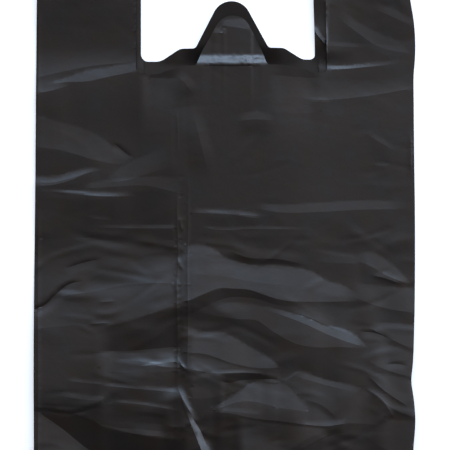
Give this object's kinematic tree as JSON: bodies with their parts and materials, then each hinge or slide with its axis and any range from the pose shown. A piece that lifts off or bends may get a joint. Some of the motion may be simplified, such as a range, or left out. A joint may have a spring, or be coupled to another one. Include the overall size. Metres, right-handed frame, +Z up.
{
  "type": "plastic carrier bag",
  "caption": "Thin black film vest carrier bag lying flat, with folded side gussets, loop handles, a mouth between them and a welded bottom.",
  "frame": {"origin": "middle of the bag seen from above, on the surface that its back panel lies on", "axes": "+X across the bag, +Y from the bottom weld towards the handles, +Z up out of the front panel"},
  "size_m": [0.28, 0.533, 0.0084],
  "materials": {
    "film": "thin black polythene film with a soft gloss, creased"
  },
  "bodies": {
    "root": {"carrier_bag": "film"}
  },
  "joints": []
}
